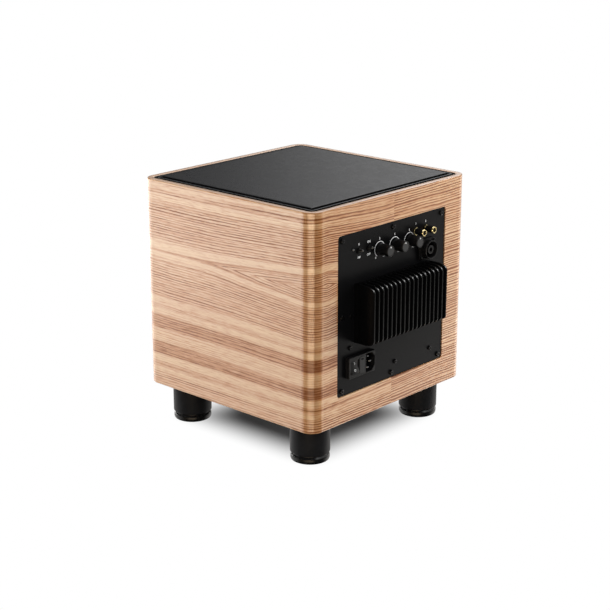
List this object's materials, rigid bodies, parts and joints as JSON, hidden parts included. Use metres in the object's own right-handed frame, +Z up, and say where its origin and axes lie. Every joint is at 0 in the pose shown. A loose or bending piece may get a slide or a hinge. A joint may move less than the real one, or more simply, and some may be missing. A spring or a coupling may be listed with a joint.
{
  "type": "powered subwoofer",
  "caption": "Compact powered subwoofer: round-edged veneered cabinet on round feet, leather-covered top, down-firing woofer, rear amplifier plate with finned heat sink, knobs and sockets.",
  "frame": {"origin": "on the floor, under the centre of the object's box", "axes": "+Z up, front faces -Y, amplifier plate on the rear faces +Y, +X to the right seen from the front"},
  "size_m": [0.29, 0.315, 0.3202],
  "materials": {
    "veneer": "satin lacquer over walnut veneer",
    "black_board": "matt black painted board",
    "leather": "fine-grained black leather",
    "black_plate": "matt black powder coat",
    "black_aluminium": "black anodised",
    "black_steel": "black coated steel",
    "foam": "closed-cell foam",
    "rubber": "matt black rubber",
    "board": "green circuit board",
    "ferrite": "sintered ferrite",
    "steel": "zinc-plated steel",
    "knob_plastic": "satin black",
    "black_plastic": "satin black",
    "grey_plastic": "fine-textured dark grey",
    "nickel": "bright nickel plate",
    "gold": "bright gold plate",
    "lamp": "clear lens",
    "cone": "matt black coated pulp",
    "cloth": "treated cloth",
    "copper": "enamelled copper on its former",
    "glass": "clear tube with metal ends"
  },
  "bodies": {
    "cabinet": {"cabinet_shell": "veneer", "bottom_baffle": "black_board", "top_panel": "leather", "amp_plate": "black_plate", "heat_sink": "black_aluminium", "foot_column_front_left": "black_aluminium", "foot_column_front_right": "black_aluminium", "foot_column_rear_left": "black_aluminium", "foot_column_rear_right": "black_aluminium", "driver_basket": "black_steel", "plate_screw_1": "black_steel", "plate_screw_2": "black_steel", "plate_screw_3": "black_steel", "plate_screw_4": "black_steel", "plate_screw_5": "black_steel", "plate_screw_6": "black_steel", "plate_screw_7": "black_steel", "plate_screw_8": "black_steel", "plate_gasket": "foam", "surround": "rubber", "foot_base_front_left": "rubber", "foot_base_front_right": "rubber", "foot_base_rear_left": "rubber", "foot_base_rear_right": "rubber", "amp_board": "board", "control_board": "board", "power_transformer": "ferrite", "driver_magnet": "ferrite", "driver_top_plate": "steel", "driver_yoke": "steel", "phono_insulator_left": "black_plastic", "phono_insulator_right": "black_plastic", "speaker_socket": "black_plastic", "inlet_housing": "grey_plastic", "pot_body_crossover": "grey_plastic", "pot_body_line": "grey_plastic", "pot_body_speaker": "grey_plastic", "toggle_body_phase": "grey_plastic", "toggle_body_mode": "grey_plastic", "inlet_pin_line": "nickel", "inlet_pin_neutral": "nickel", "inlet_pin_earth": "nickel", "phono_shell_left": "gold", "phono_shell_right": "gold", "status_lamp": "lamp", "spider": "cloth"},
    "crossover_knob": {"knob_crossover": "knob_plastic", "pot_shaft_crossover": "nickel"},
    "line_knob": {"knob_line": "knob_plastic", "pot_shaft_line": "nickel"},
    "speaker_knob": {"knob_speaker": "knob_plastic", "pot_shaft_speaker": "nickel"},
    "phase_lever": {"toggle_lever_phase": "nickel"},
    "mode_lever": {"toggle_lever_mode": "nickel"},
    "rocker": {"rocker_switch": "black_plastic"},
    "fuse_holder": {"fuse_drawer": "black_plastic", "fuse": "glass"},
    "woofer_cone": {"cone": "cone", "dust_cap": "cone", "voice_coil": "copper"}
  },
  "joints": [
    {"name": "crossover_turn", "type": "hinge", "parent": "cabinet", "child": "crossover_knob", "pos_m": [0.025, 0.1275, 0.255], "axis": [0, 1, 0], "range_deg": [-150, 150]},
    {"name": "line_turn", "type": "hinge", "parent": "cabinet", "child": "line_knob", "pos_m": [-0.003, 0.1275, 0.255], "axis": [0, 1, 0], "range_deg": [-150, 150]},
    {"name": "speaker_turn", "type": "hinge", "parent": "cabinet", "child": "speaker_knob", "pos_m": [-0.031, 0.1275, 0.255], "axis": [0, 1, 0], "range_deg": [-150, 150]},
    {"name": "phase_flip", "type": "hinge", "parent": "cabinet", "child": "phase_lever", "pos_m": [0.0632, 0.1275, 0.26], "axis": [1, 0, 0], "range_deg": [-26, 0]},
    {"name": "mode_flip", "type": "hinge", "parent": "cabinet", "child": "mode_lever", "pos_m": [0.0452, 0.1275, 0.26], "axis": [1, 0, 0], "range_deg": [-26, 0]},
    {"name": "rocker_flip", "type": "hinge", "parent": "cabinet", "child": "rocker", "pos_m": [0.0749, 0.1315, 0.1199], "axis": [1, 0, 0], "range_deg": [-16, 0]},
    {"name": "fuse_pull", "type": "slide", "parent": "cabinet", "child": "fuse_holder", "axis": [0, 1, 0], "range_m": [0, 0.02]},
    {"name": "cone_stroke", "type": "slide", "parent": "cabinet", "child": "woofer_cone", "axis": [0, 0, 1], "range_m": [-0.008, 0.008], "stiffness_N_per_m": 2000, "deforming": ["surround", "spider"]}
  ]
}
